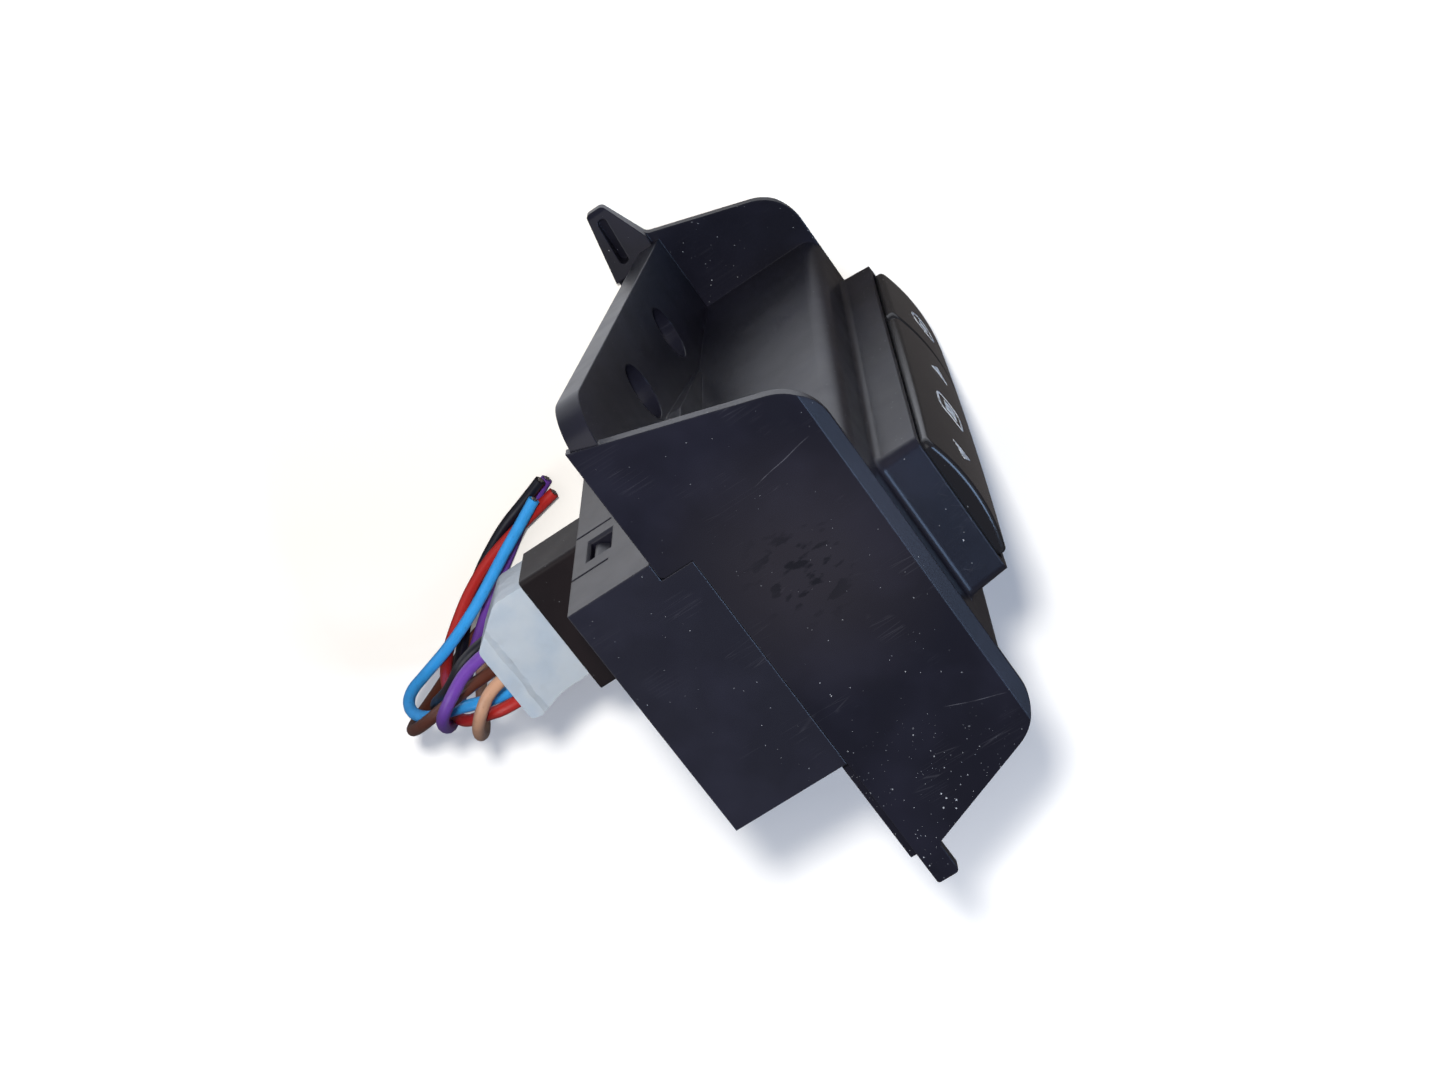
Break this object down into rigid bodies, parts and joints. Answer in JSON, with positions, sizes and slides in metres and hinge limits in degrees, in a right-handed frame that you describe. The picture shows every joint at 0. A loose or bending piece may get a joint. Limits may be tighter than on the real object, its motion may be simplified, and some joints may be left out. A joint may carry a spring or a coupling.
{
  "type": "switch panel",
  "caption": "Dashboard switch panel: black bezel with a rocker and a push button, rear box, plug and short cut wires.",
  "frame": {"origin": "middle of the bottom of the box round the part without its wires; the part lies on its far cheek", "axes": "+X towards the screw flange, +Y towards the wiring plug (the buttons face -Y), +Z from the far cheek up to the near cheek"},
  "size_m": [0.0974, 0.1225, 0.1086],
  "materials": {
    "bezel_plastic": "fine satin moulding",
    "board_laminate": "solder-masked laminate",
    "button_gloss": "polished black",
    "carrier_plastic": "natural plastic",
    "chip_plastic": "moulded",
    "clear_plastic": "clear",
    "contact_metal": "tinned",
    "housing_plastic": "satin moulding",
    "insulation_black": "extruded insulation",
    "insulation_blue": "extruded insulation",
    "insulation_brown": "extruded insulation",
    "insulation_red": "extruded insulation",
    "insulation_tan": "extruded insulation",
    "insulation_violet": "extruded insulation",
    "led_plastic": "lamp",
    "mat_rubber": "soft silicone",
    "pin_steel": "drawn steel",
    "plug_nylon": "natural nylon",
    "plunger_plastic": "natural plastic",
    "screw_steel": "black zinc",
    "shroud_plastic": "brown-black moulding"
  },
  "bodies": {
    "panel": {"bezel": "bezel_plastic", "pivot_pin": "pin_steel", "button_carrier": "carrier_plastic", "push_light_guide": "clear_plastic", "rocker_light_guide": "clear_plastic", "rubber_mat": "mat_rubber", "circuit_board": "board_laminate", "leds": "led_plastic", "control_chip": "chip_plastic", "resistors": "chip_plastic", "connector_shroud": "shroud_plastic", "connector_pins": "contact_metal", "rear_housing": "housing_plastic", "rear_cover": "housing_plastic", "plug_housing": "plug_nylon", "plug_terminals": "contact_metal", "carrier_screws": "screw_steel", "board_screws": "screw_steel", "housing_screws": "screw_steel", "wire_blue": "insulation_blue", "wire_black": "insulation_black", "wire_red": "insulation_red", "wire_brown": "insulation_brown", "wire_violet": "insulation_violet", "wire_tan": "insulation_tan"},
    "rocker": {"rocker_cap": "button_gloss"},
    "push_button": {"push_cap": "button_gloss", "push_plunger": "plunger_plastic"},
    "plunger_far": {"rocker_plunger_far": "plunger_plastic"},
    "plunger_near": {"rocker_plunger_near": "plunger_plastic"}
  },
  "joints": [
    {"name": "rocker_tilt", "type": "hinge", "parent": "panel", "child": "rocker", "pos_m": [-0.00055, -0.0302, 0.06685], "axis": [1, 0, 0], "range_deg": [-2.2, 2.2], "stiffness_Nm_per_rad": 0.6, "deforming": ["rubber_mat"]},
    {"name": "push_slide", "type": "slide", "parent": "panel", "child": "push_button", "axis": [0, 1, 0], "range_m": [0, 0.002], "stiffness_N_per_m": 600, "deforming": ["rubber_mat"]},
    {"name": "plunger_far_slide", "type": "slide", "parent": "panel", "child": "plunger_far", "axis": [0, 1, 0], "range_m": [-0.00077, 0.00077]},
    {"name": "plunger_near_slide", "type": "slide", "parent": "panel", "child": "plunger_near", "axis": [0, 1, 0], "range_m": [-0.00077, 0.00077]}
  ],
  "couplings": [
    {"joint": "plunger_far_slide", "follows": "rocker_tilt", "m_per_rad": 0.02},
    {"joint": "plunger_near_slide", "follows": "rocker_tilt", "m_per_rad": -0.02}
  ]
}
